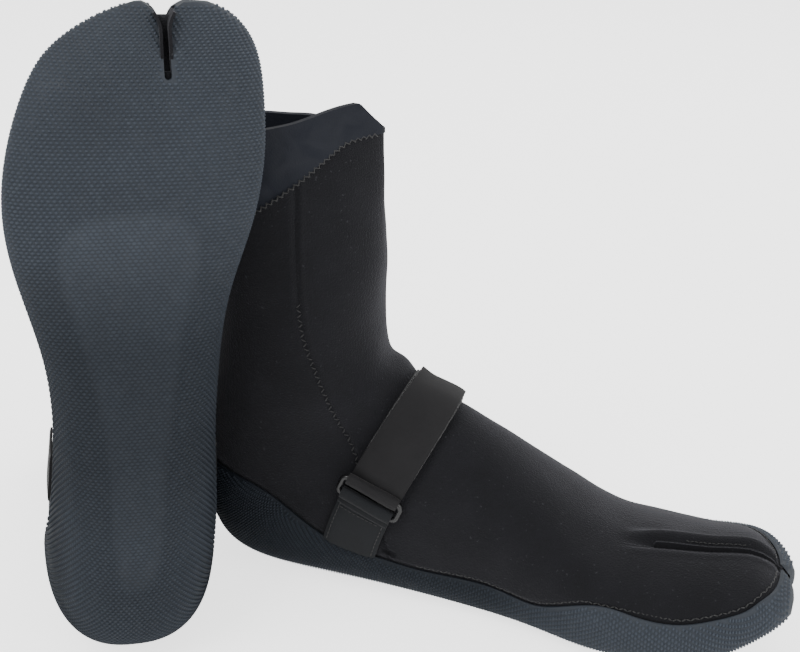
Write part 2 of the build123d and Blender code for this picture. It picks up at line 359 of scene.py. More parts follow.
def top_lip(p):
    """The trough of the toe split: a low inner lip, a sloping far wall and a higher outer lip."""
    off = p[..., 1] - SLIT_Y
    along = smooth(p[..., 0], SLIT_ROOT - 20, SLIT_ROOT + 3)
    fade = 1 - smooth(p[..., 0], 278, 296)
    up = smooth(p[..., 2], 26, 34)
    inner_lip = 0.5 * np.exp(-((off + 5.0) / 2.2) ** 2)
    outer_lip = (2.3 * fade + 0.5) * np.exp(-((off - 8.2) / 3.4) ** 2)
    inner_dip = 1.3 * (1 - smooth(-off, 1.3, 3.6)) * (off < 0)
    outer_dip = 2.6 * (1 - smooth(off, 1.3, 6.4)) * (off >= 0)
    return along * up * (inner_lip - inner_dip + outer_lip - outer_dip)


def relief(p):
    """How far the finished upper stands off the plain form, in mm."""
    x, z = p[..., 0], p[..., 2]
    soft = 0.55 * lattice_noise(p, 34.0, 1) + 0.30 * lattice_noise(p, 15.0, 2)
    seam = dist_to(side_seam[::4], x, z)
    groove = -0.75 * np.exp(-(seam / 1.1) ** 2) + 0.35 * np.exp(-((seam - 2.6) / 1.3) ** 2)
    clear = smooth(above_rubber(p), -1.0, 3.0)
    return (soft + groove + top_lip(p)) * clear - 1.0 * (1 - clear)


# ------------------------------------------------------------------ grids of the boot

def steps(runs):
    """Columns in runs of (start, end, count)."""
    return np.unique(np.concatenate([np.linspace(a, b, n) for a, b, n in runs]).round(7))


def shell_parts(outer, inner, closed=False):
    """Vertices and faces of the solid between an outer and an inner grid."""
    rows, cols = outer.shape[:2]
    n = rows * cols
    verts = np.concatenate([outer.reshape(-1, 3), inner.reshape(-1, 3)])
    out = grid_faces(rows, cols, closed)
    parts = [out, out[:, ::-1] + n]
    j = np.arange(cols if closed else cols - 1)
    k = (j + 1) % cols
    last = (rows - 1) * cols
    parts.append(np.stack([j, k, k + n, j + n], -1))
    parts.append(np.stack([last + k, last + j, last + j + n, last + k + n], -1))
    if not closed:
        i = np.arange(rows - 1) * cols
        e = i + cols - 1
        parts.append(np.stack([i + cols, i, i + n, i + cols + n], -1))
        parts.append(np.stack([e, e + cols, e + cols + n, e + n], -1))
    return verts, np.concatenate(parts)


def above_rubber(p, extra=0.0):
    return p[..., 2] - rubber_z(p[..., 0]) + extra


def above_collar_seam(p):
    return p[..., 2] - collar_z(p[..., 0])


def above_top(p):
    sag = np.interp(p[..., 0], [15, 35, 60, 85, 100], [4, 9, 14, 16, 13]) * smooth(p[..., 1], -4, 16)
    sag = sag + 0.8 * np.sin(p[..., 1] / 9.0 + p[..., 0] / 13.0)
    edge = np.array(TOP_EDGE, float)
    return p[..., 2] - np.interp(p[..., 0], edge[:, 0], edge[:, 1]) + sag


def panel(name, angle, v, upper, lower, rows, material, stand_off=relief, closed=False, hidden_end=False):
    """Solid of one sewn panel between two lines on the surface."""
    t1 = locate(angle, v, lower)
    if hidden_end:
        t1 = np.minimum(eased(t1, 9, np.max), LAST - 0.3)
    t = even_rows(angle, v, locate(angle, v, upper), t1, rows)
    a = angle(v[None], t)
    p = surface(t, a)
    n = form_normals(t, a)
    outer = p + n * stand_off(p)[..., None]
    inner = surface(t, a, -NEO) + n * (0.5 * lattice_noise(p, 34.0, 1))[..., None]
    verts, faces = shell_parts(outer, inner, closed)
    return mesh_of(name, verts, faces, material), outer


def prism(outline, low, high, material, side_view=False):
    """Closed prism over an outline in plan (or in side view)."""
    o = np.array(outline, float)
    n = len(o)
    verts = np.concatenate([np.c_[o, np.full(n, low)], np.c_[o, np.full(n, high)]])
    if side_view:
        verts = verts[:, [0, 2, 1]]
    k = np.arange(n)
    faces = [list(k[::-1]), list(k + n)] + [[i, (i + 1) % n, (i + 1) % n + n, i + n] for i in k]
    mesh = bpy.data.meshes.new("prism")
    mesh.from_pydata(verts.tolist(), [], [tuple(map(int, f)) for f in faces])
    mesh.materials.append(material)
    return outward(mesh)


def slit_outline(root, grow):
    """The toe split in plan: round root, straight sides, flared mouth."""
    mouth_x = np.array([290, 292, 294, 296, 298, 300, 301.5, 303.5, 306])
    near = np.c_[mouth_x, SLIT_Y - slit_gap(mouth_x) - grow]
    far = np.c_[mouth_x, SLIT_Y + slit_gap(mouth_x) + grow]
    r = SLIT_W / 2 + grow
    arc = np.linspace(math.pi / 2, 3 * math.pi / 2, 9)
    back = np.c_[root + SLIT_W / 2 + r * np.cos(arc), SLIT_Y + r * np.sin(arc)]
    return np.concatenate([near, [(330, -60), (330, 25)], far[::-1], back])


def sample_top(grid, x, y):
    """Height of a grid's upper side nearest to points in plan."""
    top = grid.reshape(-1, 3)
    top = top[(top[:, 0] > 215) & (top[:, 2] > 24)]
    out = []
    for px, py in zip(x, y):
        d = (top[:, 0] - px) ** 2 + (top[:, 1] - py) ** 2
        near = np.argsort(d)[:6]
        out.append(np.average(top[near, 2], weights=1 / (d[near] + 0.05)))
    return np.array(out)


def rubber_wear_shade(p):
    """How light the rubber is: scuffed lighter at the ball and the toes, with painted shade darkening the waist
    and the side wall round the heel.
    """
    x, z = p[..., 0], p[..., 2]
    forefoot = smooth(x, 150, 215)
    heel = 1 - smooth(x, 60, 115)
    side = (1 - smooth(x, 150, 225)) * smooth(z, 7, 18)
    toes = forefoot * smooth(z, 12, 30)
    return 0.64 + 0.44 * forefoot + 0.16 * heel * (1 - side) - 0.12 * side + 0.06 * toes


def store_wear_shade(mesh):
    """Keeps the scuffing and painted shade of a mesh in boot coordinates as a point attribute."""
    points = np.zeros(3 * len(mesh.vertices), np.float32)
    mesh.vertices.foreach_get("co", points)
    layer = mesh.attributes.new("wear_shade", "FLOAT", "POINT")
    layer.data.foreach_set("value", rubber_wear_shade(points.reshape(-1, 3)).astype(np.float32))
    return mesh


def rubber_grow(p):
    """Outer face of the rubber: thin along its top edge."""
    below = rubber_z(p[..., 0]) - p[..., 2]
    return 0.9 + 1.2 * smooth(below, 0.0, 7.0)


def outsole_mesh(material):
    v = np.linspace(-math.pi, math.pi, 221)[:-1]
    t0 = eased(locate(whole_angle, v, above_rubber, first=True) - 0.35, 7, np.min)
    t = even_rows(whole_angle, v, t0, np.full(len(v), float(LAST)), 210)
    a = whole_angle(v[None], t)
    plain = surface(t, a)
    grow = rubber_grow(plain)
    outer = surface(t, a, grow)
    inner = surface(t, a, 0.15)
    outer[..., 2] = np.maximum(outer[..., 2], 0.35)
    inner[..., 2] = np.maximum(inner[..., 2], 1.4)
    rows, cols = t.shape
    verts, faces = shell_parts(outer, inner, True)
    n = rows * cols
    last = (rows - 1) * cols
    faces = [f for f in faces.tolist() if not (min(f) >= last and max(f) >= n + last and min(f) < n)]
    tips = [outer[-1].mean(0) + (1.2, 0, 0), inner[-1].mean(0)]
    j = np.arange(cols)
    k = (j + 1) % cols
    faces += np.stack([last + j, np.full(cols, 2 * n), last + k], -1).tolist()
    faces += np.stack([n + last + k, np.full(cols, 2 * n + 1), n + last + j], -1).tolist()
    x = np.linspace(-25, 325, 176)
    edge = np.c_[x, rubber_z(x)]
    outline = np.concatenate([edge, [(325, 140), (-25, 140)]])
    shell = mesh_of("outsole", np.concatenate([verts, tips]), faces, material)
    return cut_away(shell, prism(outline, -90, 90, material, side_view=True))


def tread_mesh(material):
    """Raised staggered dots over the rubber, as low diamond frustums."""
    across, along, tall = 2.3, 1.55, 0.65
    t = np.linspace(4.6, LAST - 0.02, 3000)
    centre = surface(t, np.full(len(t), math.pi))
    run = np.concatenate([[0], np.cumsum(np.linalg.norm(np.diff(centre, axis=0), axis=1))])
    count = int(run[-1] / along)
    rows_t = np.interp(np.arange(1, count) * along, run, t)
    ring = np.linspace(-math.pi, math.pi, 721)
    ts, angles = [], []
    step = np.gradient(rows_t)
    for k, tk in enumerate(rows_t):
        full = np.full(len(ring), tk)
        p = surface(full, ring + math.pi)
        gap = np.linalg.norm(surface(full + step[k], ring + math.pi) - p, axis=1)
        every = np.maximum(1, np.round(1.25 * along / np.maximum(gap, 0.05) - 0.35)).astype(int)
        w = np.concatenate([[0], np.cumsum(np.linalg.norm(np.diff(p, axis=0), axis=1))])
        w -= np.interp(0, ring, w)
        for half in (0, 1):
            places = (np.arange(-60, 61) + 0.5 * half) * across
            places = places[(places > w[0] + 1) & (places < w[-1] - 1)]
            at = np.interp(places, w, ring)
            m = every[np.clip(np.searchsorted(ring, at), 0, len(ring) - 1)]
            at = at[(k % m == 0) & ((k // m) % 2 == half)]
            ts.append(np.full(len(at), tk))
            angles.append(at + math.pi)
    t, a = np.concatenate(ts), np.concatenate(angles)
    p = surface(t, a)
    below = rubber_z(p[:, 0]) - p[:, 2]
    gap = np.abs(p[:, 1] - SLIT_Y) - slit_gap(p[:, 0])
    keep = (below > 1.3) & ((p[:, 0] < SOLE_ROOT - 1.5) | (gap > 1.3))
    t, a, p = t[keep], a[keep], p[keep]
    grow = rubber_grow(p)
    base = surface(t, a, grow - 0.15)
    u = surface(t, a + 0.004, grow) - surface(t, a - 0.004, grow)
    w = surface(t + 0.004, a, grow) - surface(t - 0.004, a, grow)
    u /= np.linalg.norm(u, axis=1, keepdims=True)
    n = np.cross(w, u)
    n /= np.linalg.norm(n, axis=1, keepdims=True)
    w = np.cross(u, n)
    base[:, 2] = np.maximum(base[:, 2], 0.3)
    wide = 0.92 + 0.06 * rng.uniform(-1, 1, len(t))
    corners = []
    for size, up in ((1.0, 0.0), (0.58, tall)):
        for cu, cw in ((1, 0), (0.45, 0.62), (-0.45, 0.62), (-1, 0), (-0.45, -0.62), (0.45, -0.62)):
            offset = u * (cu * 1.12 * size * wide)[:, None] + w * (cw * 1.08 * size * wide)[:, None]
            corners.append(base + offset + n * (up + (0.15 if up else 0)))
    verts = np.stack(corners, 1)
    verts[..., 2] = np.maximum(verts[..., 2], 0.0)
    first = np.arange(len(t))[:, None] * 12
    faces = [first + np.array([[6, 7, 8, 9, 10, 11]])]
    tops = faces[0].tolist()
    sides = []
    for c in range(6):
        d = (c + 1) % 6
        sides.append(first + np.array([[c, d, d + 6, c + 6]]))
    return mesh_of("tread", verts, tops + np.concatenate(sides).tolist(), material)


# ------------------------------------------------------------------ the strap

WEBBING, PILE, PLY_GAP = 1.4, 0.8, 0.1
WIRE = 1.5


def strap_off(p):
    """Signed distance in side view from the strap's centre line, positive towards the toe."""
    x, z = p[..., 0], p[..., 2]
    best = np.full(x.shape, 1e9)
    sign = np.ones(x.shape)
    line = strap_axis[::5]
    for k in range(len(line) - 1):
        a, b = line[k], line[k + 1]
        d = b - a
        u = (x - a[0]) * d[0] + (z - a[1]) * d[1]
        u = np.clip(u / (d @ d), 0 if k else -3, 1 if k < len(line) - 2 else 4)
        ex, ez = x - a[0] - u * d[0], z - a[1] - u * d[1]
        dist = np.hypot(ex, ez)
        closer = dist < best
        best = np.where(closer, dist, best)
        sign = np.where(closer, np.sign(ex * d[1] - ez * d[0]), sign)
    return best * sign


BAND_A = np.linspace(-2.6, 2.6, 521)
INNER_SIDE, OUTER_SIDE = (-2.6, 0), (0.4, 2.6)
BAND_W = np.linspace(-STRAP_WIDTH / 2, STRAP_WIDTH / 2, 15)


def band_map():
    """Station of the strap's lines over the boot, by line and angle."""
    t = np.linspace(3.2, 12.5, 360)[:, None]
    off = strap_off(surface(t, BAND_A[None] + 0 * t))
    out = np.empty((len(BAND_W), len(BAND_A)))
    for j in range(len(BAND_A)):
        climb = np.maximum.accumulate(off[:, j])
        out[:, j] = np.interp(BAND_W, climb + np.arange(len(climb)) * 1e-9, t[:, 0])
    return out


BAND_T = band_map()


def cloth_uv(along, across):
    """Weave coordinates in mm for the outer and inner side of a webbing grid."""
    u, w = np.broadcast_arrays(along, across[:, None])
    return np.tile(np.stack([u, w], -1).reshape(-1, 2), (2, 1))


def height_up(p):
    """Height up the strap from the ring's lower bar."""
    return (p - BAR_LOW) @ UP


def band(name, material, grow, thick, start, end, columns, window=INNER_SIDE, lift=None):
    """A layer of webbing from where start(p) rises through zero, in a window of angles, to where end(p) does."""
    base = surface(BAND_T, np.broadcast_to(BAND_A, BAND_T.shape), grow)
    s, e = start(base), end(base)
    inside = (BAND_A[:-1] > window[0]) & (BAND_A[:-1] < window[1])
    rows = []
    for k in range(len(BAND_W)):
        i0 = np.nonzero((s[k][:-1] <= 0) & (s[k][1:] > 0) & inside)[0][-1]
        a0 = np.interp(0, s[k][i0:i0 + 2], BAND_A[i0:i0 + 2])
        reach = np.nonzero((e[k][:-1] <= 0) & (e[k][1:] > 0))[0]
        i1 = reach[reach >= i0][0]
        a1 = np.interp(0, e[k][i1:i1 + 2], BAND_A[i1:i1 + 2])
        fine = np.linspace(a0, a1, 200)
        t = np.interp(fine, BAND_A, BAND_T[k])
        p = surface(t, fine, grow)
        run = np.concatenate([[0], np.cumsum(np.linalg.norm(np.diff(p, axis=0), axis=1))])
        a = np.interp(np.linspace(0, run[-1], columns), run, fine)
        rows.append((a, np.interp(a, BAND_A, BAND_T[k])))
    a, t = (np.array(column) for column in zip(*rows))
    edge = np.abs(BAND_W)[:, None] / (STRAP_WIDTH / 2)
    along = np.linspace(0, 1, columns)[None]
    rise = 0.0 if lift is None else lift(along, edge)
    inner = surface(t, a, grow + rise)
    soft = 0.12 * lattice_noise(inner, 9.0, 5)
    outer = surface(t, a, grow + rise + thick * (1 - 0.35 * edge ** 8) + soft)
    verts, faces = shell_parts(outer, inner)
    return outward(mesh_of(name, verts, faces, material, uv=cloth_uv(along * columns, BAND_W))), outer


def sleeve_points(centre, radius, turns, stretch):
    """Grid round a ring bar: one row for each angle in turns, stretched up or down the strap."""
    x = np.linspace(-STRAP_WIDTH / 2, STRAP_WIDTH / 2, 31)
    out = -np.array([0.0, 1.0, 0.0])
    grid = []
    for angle in turns:
        tall = 1 + abs(stretch) * max(0.0, math.sin(angle) * math.copysign(1, stretch))
        around = math.cos(angle) * out + math.sin(angle) * tall * UP
        sag = radius * (1 + 0.05 * np.cos(x / 5.1 + 2 * angle) - 0.10 * (np.abs(x) / 14) ** 6)
        grid.append(centre + x[:, None] * SIDE + sag[:, None] * around)
    return np.array(grid)


def sleeve(name, centre, material, stretch):
    """Webbing rolled round a ring bar."""
    turns = np.linspace(0, 2 * math.pi, 33)[:-1]
    outer = np.moveaxis(sleeve_points(centre, WIRE + 0.1 + WEBBING, turns, stretch), 0, 1)
    inner = np.moveaxis(sleeve_points(centre, WIRE + 0.1, turns, stretch), 0, 1)
    verts, faces = shell_parts(outer, inner, True)
    uv = cloth_uv(turns[None] * 3.0, np.linspace(-14, 14, len(outer)))
    return outward(mesh_of(name, verts, faces, material, uv=uv))


# ------------------------------------------------------------------ stitches

def stitches(path, normal, material, pitch, length, radius, slant=0.0, lift=0.15):
    """A row of short threads along a path on the surface, slanting to and fro."""
    run = np.concatenate([[0], np.cumsum(np.linalg.norm(np.diff(path, axis=0), axis=1))])
    at = np.arange(pitch / 2, run[-1] - pitch / 2, pitch)
    p = np.stack([np.interp(at, run, path[:, c]) for c in range(3)], -1)
    n = np.stack([np.interp(at, run, normal[:, c]) for c in range(3)], -1)
    n /= np.linalg.norm(n, axis=1, keepdims=True)
    d = np.stack([np.interp(at + 0.5, run, axis) - np.interp(at - 0.5, run, axis) for axis in path.T], -1)
    d /= np.linalg.norm(d, axis=1, keepdims=True)
    b = np.cross(n, d)
    turn = slant * np.where(np.arange(len(at)) % 2, 1.0, -1.0)[:, None]
    d, b = d * np.cos(turn) + b * np.sin(turn), b * np.cos(turn) - d * np.sin(turn)
    verts, faces = [], []
    # place along the thread, thickness, height of each ring of points
    spots = [(-0.5, 0.35, -0.6), (-0.32, 0.95, 0.15), (0, 1.1, 0.35), (0.32, 0.95, 0.15), (0.5, 0.35, -0.6)]
    sides = 6
    for along, fat, up in spots:
        for k in range(sides):
            q = 2 * math.pi * k / sides
            verts.append(p + d * (along * length) + b * (math.cos(q) * radius * fat)
                         + n * (lift + radius * (math.sin(q) * fat + up)))
    verts = np.stack(verts, 1)
    first = np.arange(len(at))[:, None] * (sides * len(spots))
    for r in range(len(spots) - 1):
        for k in range(sides):
            j = (k + 1) % sides
            f = first + np.array([[r * sides + k, r * sides + j, (r + 1) * sides + j, (r + 1) * sides + k]])
            faces += f.tolist()
    cap = np.arange(sides)[None]
    faces += np.concatenate([first + cap[:, ::-1], first + (len(spots) - 1) * sides + cap]).tolist()
    return mesh_of("stitches", verts, faces, material)


def joined(name, meshes):
    """One mesh out of several."""
    b = bmesh.new()
    for mesh in meshes:
        b.from_mesh(mesh)
    out = bpy.data.meshes.new(name)
    b.to_mesh(out)
    b.free()
    for material in meshes[0].materials:
        out.materials.append(material)
    return out


def line_on_surface(a, field, grow):
    """Points and normals where a field falls through zero, at angles a round the boot."""
    t = locate(whole_angle, a, field)
    return surface(t, a, grow), form_normals(t, a, grow)


# ------------------------------------------------------------------ materials

class Look:
    """A material in the making: its nodes, and shorthands for the textures that they use."""

    def __init__(self, name):
        self.material = bpy.data.materials.new(name)
        self.material.use_nodes = True
        self.tree = self.material.node_tree
        self.where = self.node("ShaderNodeTexCoord").outputs["Object"]

    def fill(self, node, inputs):
        for key, value in inputs.items():
            if isinstance(value, bpy.types.NodeSocket):
                self.tree.links.new(value, node.inputs[key])
            else:
                node.inputs[key].default_value = value

    def node(self, kind, inputs=None, **settings):
        made = self.tree.nodes.new(kind)
        for key, value in settings.items():
            setattr(made, key, value)
        self.fill(made, inputs or {})
        return made

    def noise(self, scale, detail, **more):
        inputs = {"Vector": self.where, "Scale": scale, "Detail": detail, **more}
        return self.node("ShaderNodeTexNoise", inputs).outputs["Fac"]

    def cells(self, scale, **more):
        inputs = {"Vector": self.where, "Scale": scale, **more}
        return self.node("ShaderNodeTexVoronoi", inputs).outputs["Distance"]

    def math(self, operation, *values):
        return self.node("ShaderNodeMath", dict(enumerate(values)), operation=operation).outputs[0]

    def mix(self, share, under, over):
        return self.node("ShaderNodeMix", {0: share, 6: under, 7: (*over, 1)}, data_type="RGBA").outputs[2]

    def ramp(self, source, *stops):
        """Colour ramp with two (position, grey or colour) stops."""
        made = self.node("ShaderNodeValToRGB", {"Fac": source})
        for element, (position, colour) in zip(made.color_ramp.elements, stops):
            element.position = position
            element.color = (*((colour,) * 3 if isinstance(colour, float) else colour), 1.0)
        return made.outputs["Color"]

    def bump(self, height, strength, distance, under=None):
        inputs = {"Height": height, "Strength": strength, "Distance": distance}
        if under is not None:
            inputs["Normal"] = under
        return self.node("ShaderNodeBump", inputs).outputs["Normal"]

    def done(self, inputs):
        self.fill(self.tree.nodes["Principled BSDF"], inputs)
        return self.material


def jersey(look):
    """Knitted jersey over foam: fine loops, a soft nap and a little lint."""
    loops, fuzz, lint = look.cells(1150.0, Randomness=0.75), look.noise(2600.0, 2.0), look.noise(700.0, 1.0)
    broad = look.noise(38.0, 4.0, Roughness=0.6)
    base = look.ramp(broad, (0.25, (0.0036, 0.0037, 0.0050)), (0.8, (0.0070, 0.0070, 0.0092)))
    specks = look.ramp(lint, (0.70, 0.0), (0.80, 1.0))
    return look.done({
        "Base Color": look.mix(specks, base, (0.024, 0.024, 0.028)),
        "Roughness": 0.92, "Specular IOR Level": 0.25,
        "Sheen Weight": 0.12, "Sheen Roughness": 0.45, "Sheen Tint": (0.80, 0.80, 0.90, 1),
        "Normal": look.bump(fuzz, 0.35, 0.0003, look.bump(loops, 0.55, 0.0006)),
    })


def smooth_skin(look):
    """Smooth-skin neoprene: satin, faintly bluish, with fine creases."""
    grain, crease, broad = look.cells(1500.0), look.noise(90.0, 6.0, Distortion=0.8), look.noise(26.0, 3.0)
    return look.done({
        "Base Color": look.ramp(broad, (0.3, (0.0030, 0.0042, 0.0085)), (0.75, (0.0052, 0.0070, 0.0130))),
        "Roughness": look.ramp(crease, (0.3, 0.62), (0.7, 0.78)), "Specular IOR Level": 0.28,
        "Normal": look.bump(grain, 0.25, 0.0003, look.bump(crease, 0.25, 0.0012)),
    })


def rubber(look, painted_light_level):
    """Moulded outsole rubber: slate grey, matt, scuffed lighter where it touches, with painted shade at the waist
    and sides from a point attribute.
    """
    # the level factor scales the whole rubber: below one for the outsole between the dots as painted shade, above
    # one for the raised tread dots as painted light
    dark, pale, scuffed = (
        tuple(c * painted_light_level for c in colour)
        for colour in ((0.0132, 0.0182, 0.0262), (0.0205, 0.0275, 0.0385), (0.042, 0.051, 0.063)))
    broad = look.noise(22.0, 5.0, Roughness=0.65)
    fine, scuff = look.noise(1400.0, 3.0), look.noise(160.0, 4.0)
    base = look.ramp(broad, (0.25, dark), (0.8, pale))
    mixed = look.mix(look.ramp(scuff, (0.55, 0.0), (0.85, 0.5)), base, scuffed)
    # scuffing and painted shade: the point attribute lightens the ball and toes and darkens the waist and the
    # sole's side wall, in colour and in reflection
    wear_shade = look.node("ShaderNodeAttribute", attribute_name="wear_shade").outputs["Fac"]
    worn_shaded = look.node("ShaderNodeVectorMath", {0: mixed, "Scale": wear_shade}, operation="SCALE").outputs["Vector"]
    return look.done({
        "Base Color": worn_shaded, "Roughness": look.ramp(scuff, (0.3, 0.60), (0.8, 0.78)),
        "Specular IOR Level": look.math("MULTIPLY", wear_shade, 0.42), "Normal": look.bump(fine, 0.30, 0.0003),
    })


def woven(look, dark, pale):
    """Elastic webbing: fine ribs across and a plain weave, in the coordinates of the cloth."""
    uv = look.node("ShaderNodeUVMap", uv_map="cloth").outputs["UV"]
    split = look.node("ShaderNodeSeparateXYZ", {"Vector": uv}).outputs
    along = look.math("SINE", look.math("MULTIPLY", split["X"], 2 * math.pi / 0.9))
    across = look.math("SINE", look.math("MULTIPLY", split["Y"], 2 * math.pi / 1.1))
    weave = look.math("MULTIPLY_ADD", along, across, 0.5)
    broad, fibre = look.noise(70.0, 4.0), look.noise(2200.0, 2.0)
    return look.done({
        "Base Color": look.ramp(broad, (0.25, dark), (0.8, pale)),
        "Roughness": 0.74, "Specular IOR Level": 0.26, "Sheen Weight": 0.06,
        "Normal": look.bump(fibre, 0.25, 0.0002, look.bump(weave, 0.35, 0.00025)),
    })


def pile(look):
    """Hook and loop: a dense fuzzy mat."""
    tufts, fibre = look.cells(900.0), look.noise(3200.0, 3.0)
    return look.done({
        "Base Color": look.ramp(tufts, (0.1, (0.016, 0.016, 0.018)), (0.7, (0.006, 0.006, 0.007))),
        "Roughness": 0.95, "Sheen Weight": 0.3,
        "Normal": look.bump(fibre, 0.5, 0.0004, look.bump(tufts, 0.9, 0.001)),
    })


def gloss_plastic(look):
    """Moulded nylon ring: glossy black with hairline scratches."""
    scratch, broad = look.noise(600.0, 5.0, Distortion=1.5), look.noise(120.0, 2.0)
    return look.done({
        "Base Color": look.ramp(broad, (0.3, (0.006, 0.006, 0.0065)), (0.7, (0.010, 0.010, 0.011))),
        "Roughness": look.ramp(scratch, (0.4, 0.16), (0.75, 0.34)),
        "Normal": look.bump(scratch, 0.08, 0.0002),
    })


def thread(look, pale):
    """Twisted sewing thread."""
    twist = look.noise(2500.0, 2.0)
    return look.done({
        "Base Color": look.ramp(twist, (0.3, pale * 0.6), (0.7, pale * 1.3)),
        "Roughness": 0.6, "Sheen Weight": 0.2, "Normal": look.bump(twist, 0.5, 0.0002),
    })


def pale_floor(look):
    """Matt floor that glows a little, and more to the camera."""
    seen = look.node("ShaderNodeLightPath").outputs["Is Camera Ray"]
    return look.done({
        "Base Color": look.ramp(look.noise(3.0, 2.0), (0.3, 0.86), (0.7, 0.88)), "Roughness": 0.9,
        "Emission Color": (1, 1, 1, 1), "Emission Strength": look.math("MULTIPLY_ADD", seen, 1.5, 0.5),
    })


NEOPRENE_LOOK = jersey(Look("neoprene_jersey"))
SKIN_LOOK = smooth_skin(Look("smooth_skin"))
# one rubber in two copies: 0.80 darkens the outsole between the dots as painted shade, 1.30 lightens the raised
# tread dots as painted light
RUBBER_LOOK = rubber(Look("outsole_rubber"), 0.80)
TREAD_LOOK = rubber(Look("tread_rubber"), 1.30)
WEBBING_LOOK = woven(Look("webbing"), (0.0056, 0.0053, 0.0062), (0.0088, 0.0084, 0.0094))
TAB_LOOK = woven(Look("tab_webbing"), (0.0030, 0.0038, 0.0052), (0.0048, 0.0060, 0.0080))
PILE_LOOK = pile(Look("hook_loop"))
RING_LOOK = gloss_plastic(Look("ring_plastic"))
THREAD_LOOK = thread(Look("thread"), 0.009)
SEAM_THREAD_LOOK = thread(Look("seam_thread"), 0.015)

# ------------------------------------------------------------------ the upper

front_v = steps([(-1, -0.42, 62), (-0.42, -0.18, 34), (-0.18, 0.14, 80), (0.14, 0.42, 34), (0.42, 1, 62)])
rear_v = np.linspace(-1, 1, 130)
front_mesh, front_grid = panel("front_panel", front_angle, front_v, above_collar_seam,
                               lambda p: above_rubber(p, 4.0), 290, NEOPRENE_LOOK, hidden_end=True)
rear_mesh, _ = panel("rear_panel", rear_angle, rear_v, above_collar_seam,
                     lambda p: above_rubber(p, 4.0), 150, NEOPRENE_LOOK, hidden_end=True)


def collar_relief(p):
    return 0.5 + 0.6 * lattice_noise(p, 30.0, 3) + 0.3 * lattice_noise(p, 12.0, 4)


ring_v = np.linspace(0, 2 * math.pi, 241)[:-1]
collar_mesh, _ = panel("collar_panel", whole_angle, ring_v, above_top, above_collar_seam, 60,
                       SKIN_LOOK, collar_relief, True)

front_mesh = cut_away(front_mesh, prism(slit_outline(SLIT_ROOT, 0.4), -10, 90, NEOPRENE_LOOK))
for mesh in (front_mesh, rear_mesh, collar_mesh):
    mesh.set_sharp_from_angle(angle=math.radians(50))
both("front_panel", front_mesh, "shaft", ("vamp", "shaft_front"), bend=True)
both("rear_panel", rear_mesh, "shaft", ("heel_quarter", "shaft_rear"), bend=True)
both("collar_panel", collar_mesh, "shaft", ("collar",))

# insole panel, seen only down the shaft and through the toe split
sole_v = np.linspace(0, 2 * math.pi, 97)[:-1]
sole_t = even_rows(whole_angle, sole_v, locate(whole_angle, sole_v, lambda p: above_rubber(p, 4.5)),
                   np.full(len(sole_v), LAST - 0.4), 90)
sole_a = whole_angle(sole_v[None], sole_t)
verts, faces = shell_parts(surface(sole_t, sole_a, -0.9), surface(sole_t, sole_a, -NEO), True)
insole = cut_away(mesh_of("insole", verts, faces, NEOPRENE_LOOK),
                  prism(slit_outline(SOLE_ROOT, 0.1), -10, 90, NEOPRENE_LOOK))
both("insole", insole, "foot", ("sole_panel",))

# ------------------------------------------------------------------ the rubber

outsole = cut_away(outsole_mesh(RUBBER_LOOK), prism(slit_outline(SOLE_ROOT, 0.0), -10, 90, RUBBER_LOOK))
outsole.set_sharp_from_angle(angle=math.radians(45))
# the outsole and the tread carry their scuffing and painted shade as a point attribute
both("outsole", store_wear_shade(outsole), "foot", ("outsole",))
both("tread", store_wear_shade(tread_mesh(TREAD_LOOK)), "foot")

# ------------------------------------------------------------------ liner of the toe split


def gusset_mesh():
    outline = slit_outline(SLIT_ROOT, 0.0)
    near, far, back = outline[:9], outline[11:20], outline[20:]
    order = np.concatenate([near[4::-1], back[::-1], far[-1:-6:-1]])
    fine = np.linspace(0, len(order) - 1, 160)
    line = np.stack([np.interp(fine, np.arange(len(order)), order[:, c]) for c in range(2)], -1)
    d = np.gradient(line, axis=0)
    d /= np.linalg.norm(d, axis=1, keepdims=True)
    side = np.stack([d[:, 1], -d[:, 0]], -1)
    if np.mean((side * (line - (260, SLIT_Y)))[:, 1]) < 0:
        side = -side
    top = sample_top(front_grid, line[:, 0], line[:, 1] + 3.2 * side[:, 1]) - 0.4
    low = np.interp(line[:, 0], [236, 262, 290, 300], [22, 12, 20, 26])
    rows = []
    for share in np.linspace(0, 1, 14):
        z = low + (top - low) * share
        curl = 0.9 * max(0.0, share - 0.85) / 0.15
        rows.append(np.c_[line + side * (-0.25 + curl), z])
    outer = np.array(rows)
    inner = outer + np.concatenate([side * 1.3, np.zeros((len(side), 1))], 1)[None]
    verts, faces = shell_parts(outer, inner)
    wall = outward(mesh_of("wall", verts, faces, NEOPRENE_LOOK))
    fx = np.linspace(SLIT_ROOT, SOLE_ROOT + 3, 30)
    fy = SLIT_Y + np.linspace(-2.2, 2.2, 7)
    X, Y = np.meshgrid(fx, fy, indexing="ij")
    Z = np.interp(X, [236, 262, 290], [24, 14, 20]) + 1.6 * ((Y - SLIT_Y) / 2.2) ** 2
    floor_out = np.stack([X, Y, Z], -1)
    verts, faces = shell_parts(floor_out, floor_out - (0, 0, 1.2))
    return joined("gusset", [wall, outward(mesh_of("bed", verts, faces, NEOPRENE_LOOK))]), line, side, top


gusset, lip_line, lip_side, lip_top = gusset_mesh()
both("toe_gusset", gusset, "foot", ("toe_gusset",))

# ------------------------------------------------------------------ strap, patches, tab and ring

UNDER = 0.2                              # how far each layer's inner side stands off the boot
LOOP = UNDER + WEBBING + PLY_GAP
HOOK = LOOP + PILE + PLY_GAP
END = HOOK + PILE + PLY_GAP


def at_height(h):
    return lambda p: height_up(p) - h


def below_height(h):
    return lambda p: h - height_up(p)


def at_y(y):
    return lambda p: p[..., 1] - y


